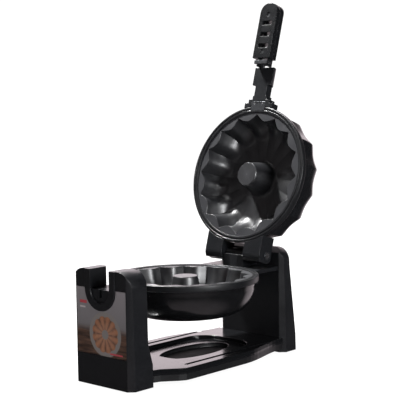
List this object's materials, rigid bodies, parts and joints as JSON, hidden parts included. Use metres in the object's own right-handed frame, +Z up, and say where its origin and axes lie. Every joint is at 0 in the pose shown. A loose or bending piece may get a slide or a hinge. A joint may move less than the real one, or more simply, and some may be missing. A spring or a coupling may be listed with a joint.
{
  "type": "rotary ring-cake maker",
  "caption": "Electric ring-cake maker: a two-post stand with a turning head of hinged, fluted ring moulds and a latched grip.",
  "frame": {"origin": "point on the table under the centre of the lower pan", "axes": "+X lengthwise from the front post to the rear post, +Y across to the appliance's left as seen from the front post, +Z up; drawn with the lid open"},
  "size_m": [0.4041, 0.222, 0.5561],
  "materials": {
    "stand_plastic": "fine-grained satin",
    "base_plastic": "satin",
    "floor_plastic": "matt",
    "label": "printed, satin varnish",
    "rubber": "matt",
    "steel": "brushed",
    "dark_steel": "dark satin",
    "bush": "moulded",
    "ceramic": "matt ceramic",
    "rim_plastic": "matt",
    "nonstick": "non-stick coating, soft gloss",
    "sheath": "annealed",
    "alloy": "turned",
    "hinge_plastic": "matt",
    "gloss_shell": "polished black",
    "lid_plastic": "satin black",
    "grip_plastic": "matt"
  },
  "bodies": {
    "stand": {"front_post": "stand_plastic", "front_floor": "floor_plastic", "label_panel": "label", "base_shell": "base_plastic", "base_floor": "floor_plastic", "rear_post": "stand_plastic", "rear_floor": "floor_plastic", "rubber_feet": "rubber", "floor_screws": "steel", "bearing_bush": "bush", "spindle_washer": "steel", "cord_bush": "rubber", "terminal_block": "ceramic"},
    "head": {"lower_shell": "gloss_shell", "lower_rim": "rim_plastic", "lower_mould": "nonstick", "lower_element": "sheath", "lower_clamps": "steel", "lower_thermostat": "ceramic", "lower_thermostat_post": "alloy", "lower_hinge": "hinge_plastic", "lower_hinge_screws": "steel", "spindle": "steel", "spindle_ring": "steel", "hinge_pin": "steel", "pin_caps": "dark_steel", "lower_stub": "hinge_plastic", "lower_stub_screws": "steel"},
    "lid": {"lid_shell": "lid_plastic", "lid_rim": "rim_plastic", "lid_mould": "nonstick", "lid_element": "sheath", "lid_clamps": "steel", "lid_thermostat": "ceramic", "lid_thermostat_post": "alloy", "lid_hinge": "hinge_plastic", "lid_hinge_screws": "steel", "lid_bracket": "hinge_plastic", "bracket_plate": "dark_steel", "plate_screws": "steel", "grip_lower": "grip_plastic", "grip_upper": "grip_plastic", "grip_screws": "steel", "latch_pin": "steel"},
    "latch": {"latch_lever": "dark_steel"}
  },
  "joints": [
    {"name": "head_turn", "type": "hinge", "parent": "stand", "child": "head", "pos_m": [0, 0, 0.14], "axis": [1, 0, 0], "range_deg": [-15, 15]},
    {"name": "lid_hinge", "type": "hinge", "parent": "head", "child": "lid", "pos_m": [0.126, 0, 0.1585], "axis": [0, 1, 0], "range_deg": [-106.5, 0]},
    {"name": "latch_pivot", "type": "hinge", "parent": "lid", "child": "latch", "pos_m": [0.19258, 0, 0.45896], "axis": [0, 1, 0], "range_deg": [0, 12], "stiffness_Nm_per_rad": 0.05, "springref_deg": -11.46}
  ]
}
